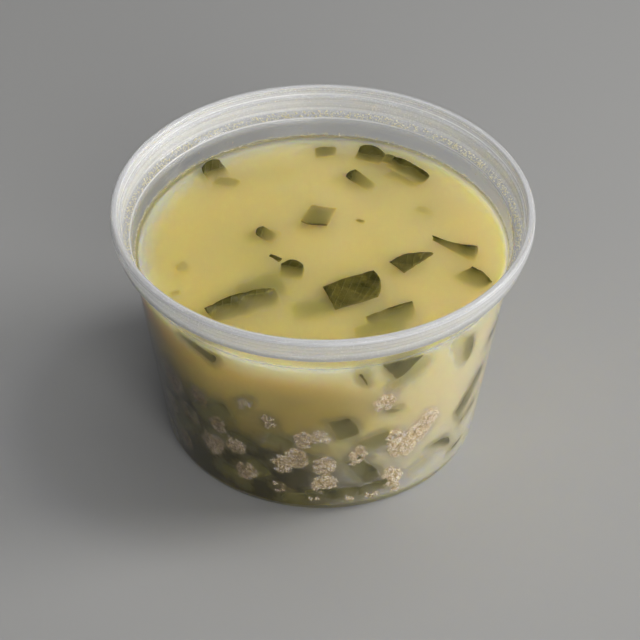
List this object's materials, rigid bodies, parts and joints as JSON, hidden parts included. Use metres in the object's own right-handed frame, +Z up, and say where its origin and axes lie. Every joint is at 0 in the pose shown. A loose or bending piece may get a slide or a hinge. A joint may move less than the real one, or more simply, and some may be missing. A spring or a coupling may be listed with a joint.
{
  "type": "tub of italian wedding soup",
  "caption": "Clear round plastic tub with a stepped rim, open at the top and filled with cloudy broth in which pieces of cooked greens float.",
  "frame": {"origin": "middle of the base, on the surface that the tub stands on", "axes": "+Z up along the tub's axis, +X to the right and -Y towards the near side of the picture"},
  "size_m": [0.117, 0.117, 0.0739],
  "materials": {
    "clear_plastic": "thin clear polypropylene, slightly milky at the rim, smooth",
    "broth": "cloudy yellow-green broth with a wet surface",
    "greens": "cooked dark olive leaf, wet"
  },
  "bodies": {
    "root": {"tub": "clear_plastic", "broth": "broth", "leaf_centre": "greens", "leaf_right": "greens", "leaf_far_right": "greens", "leaf_front_left": "greens", "leaf_front_right": "greens", "leaf_small_mid": "greens", "leaf_shred": "greens", "leaf_small_left": "greens", "leaf_mid": "greens", "leaf_back_left": "greens", "leaf_back_mid": "greens", "leaf_back_right": "greens", "leaf_back_tail": "greens"}
  },
  "joints": []
}
